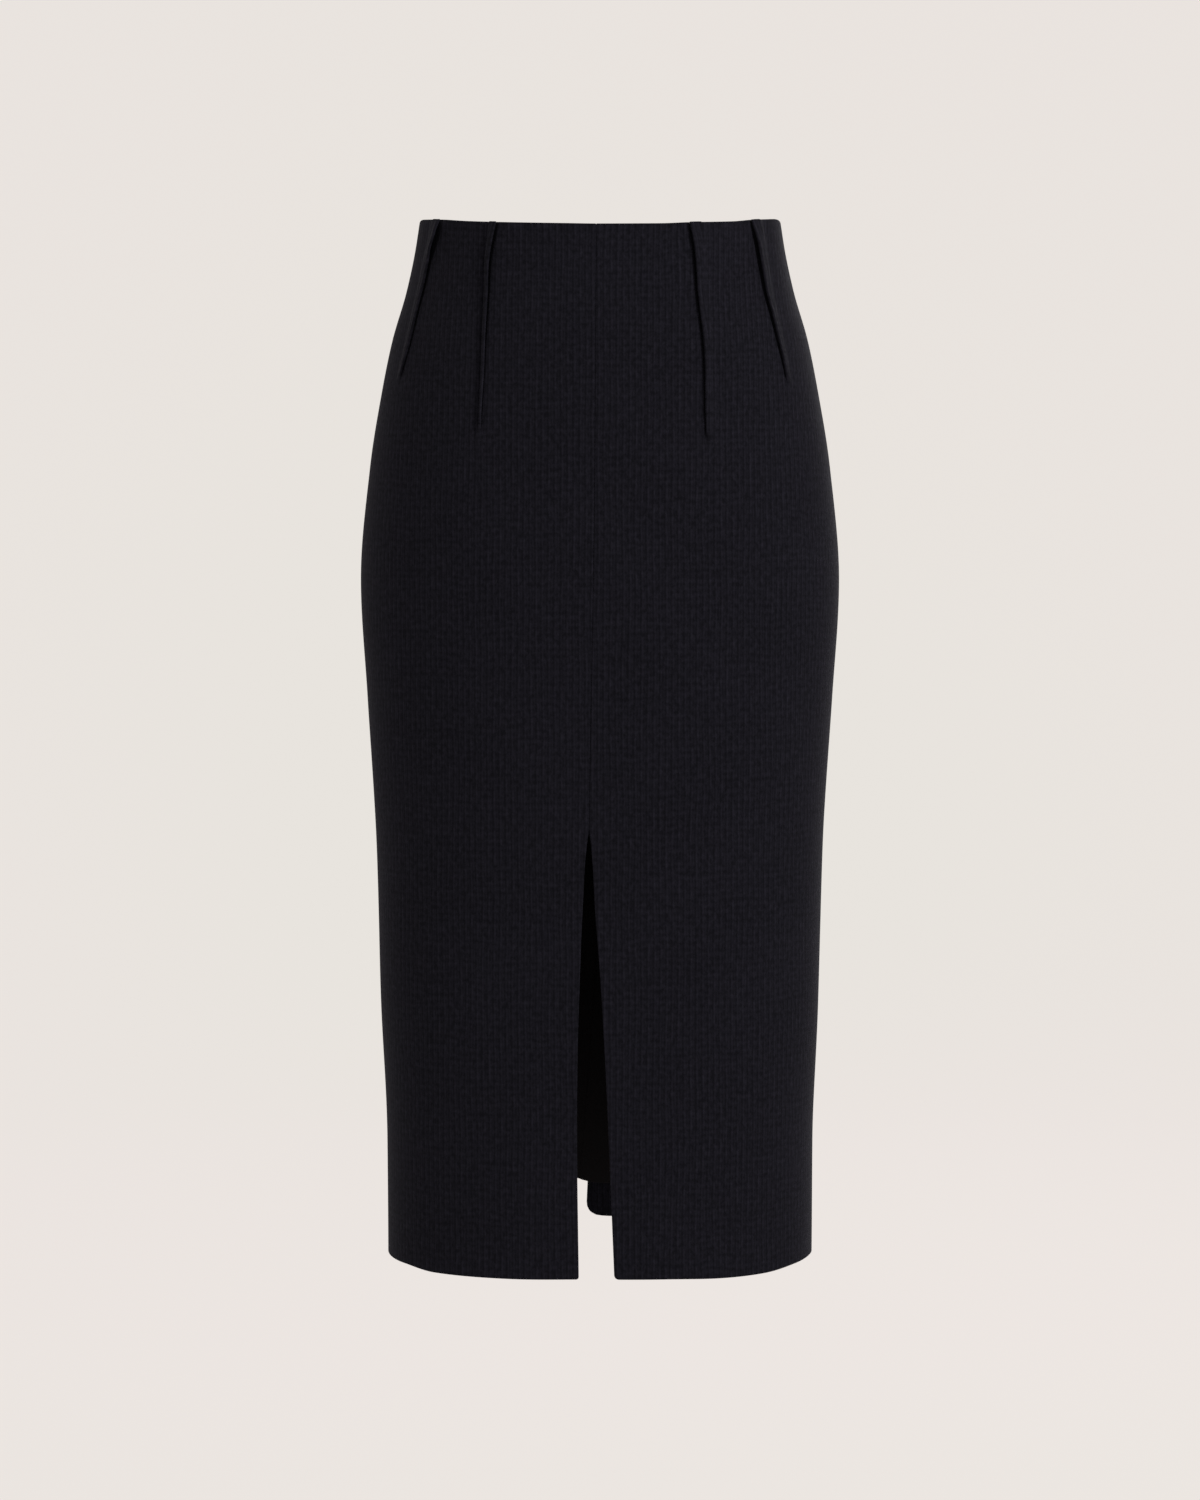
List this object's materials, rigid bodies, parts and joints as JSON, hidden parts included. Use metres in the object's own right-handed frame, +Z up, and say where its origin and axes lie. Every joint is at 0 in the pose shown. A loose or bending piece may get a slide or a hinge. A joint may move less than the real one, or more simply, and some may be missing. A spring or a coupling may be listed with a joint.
{
  "type": "pencil skirt",
  "caption": "Hollow, filled-out midi pencil skirt with a centre-front seam and walking slit, stitched front waist tucks, a back vent, a concealed back zip and a lining.",
  "frame": {"origin": "centre of the waist opening, level with the top of the side seams", "axes": "+Z up through the waist opening, -Y towards the front of the skirt, +X towards the wearer's left side"},
  "size_m": [0.3424, 0.245, 0.742],
  "materials": {
    "crepe": "matte, pebbled crepe weave, midnight navy that reads nearly black",
    "lining": "smooth satin, brown-black",
    "zip_enamel": "gloss black enamel on cast zinc"
  },
  "bodies": {
    "skirt": {"front_left": "crepe", "front_right": "crepe", "back_left": "crepe", "back_right": "crepe", "lining_front_left": "lining", "lining_front_right": "lining", "lining_back_left": "lining", "lining_back_right": "lining", "zip_slider": "zip_enamel"},
    "zip_pull": {"zip_pull": "zip_enamel"}
  },
  "joints": [
    {"name": "zip_pull_swing", "type": "hinge", "parent": "skirt", "child": "zip_pull", "pos_m": [0, 0.09588, -0.01162], "axis": [1, 0, 0], "range_deg": [0, 160]}
  ]
}
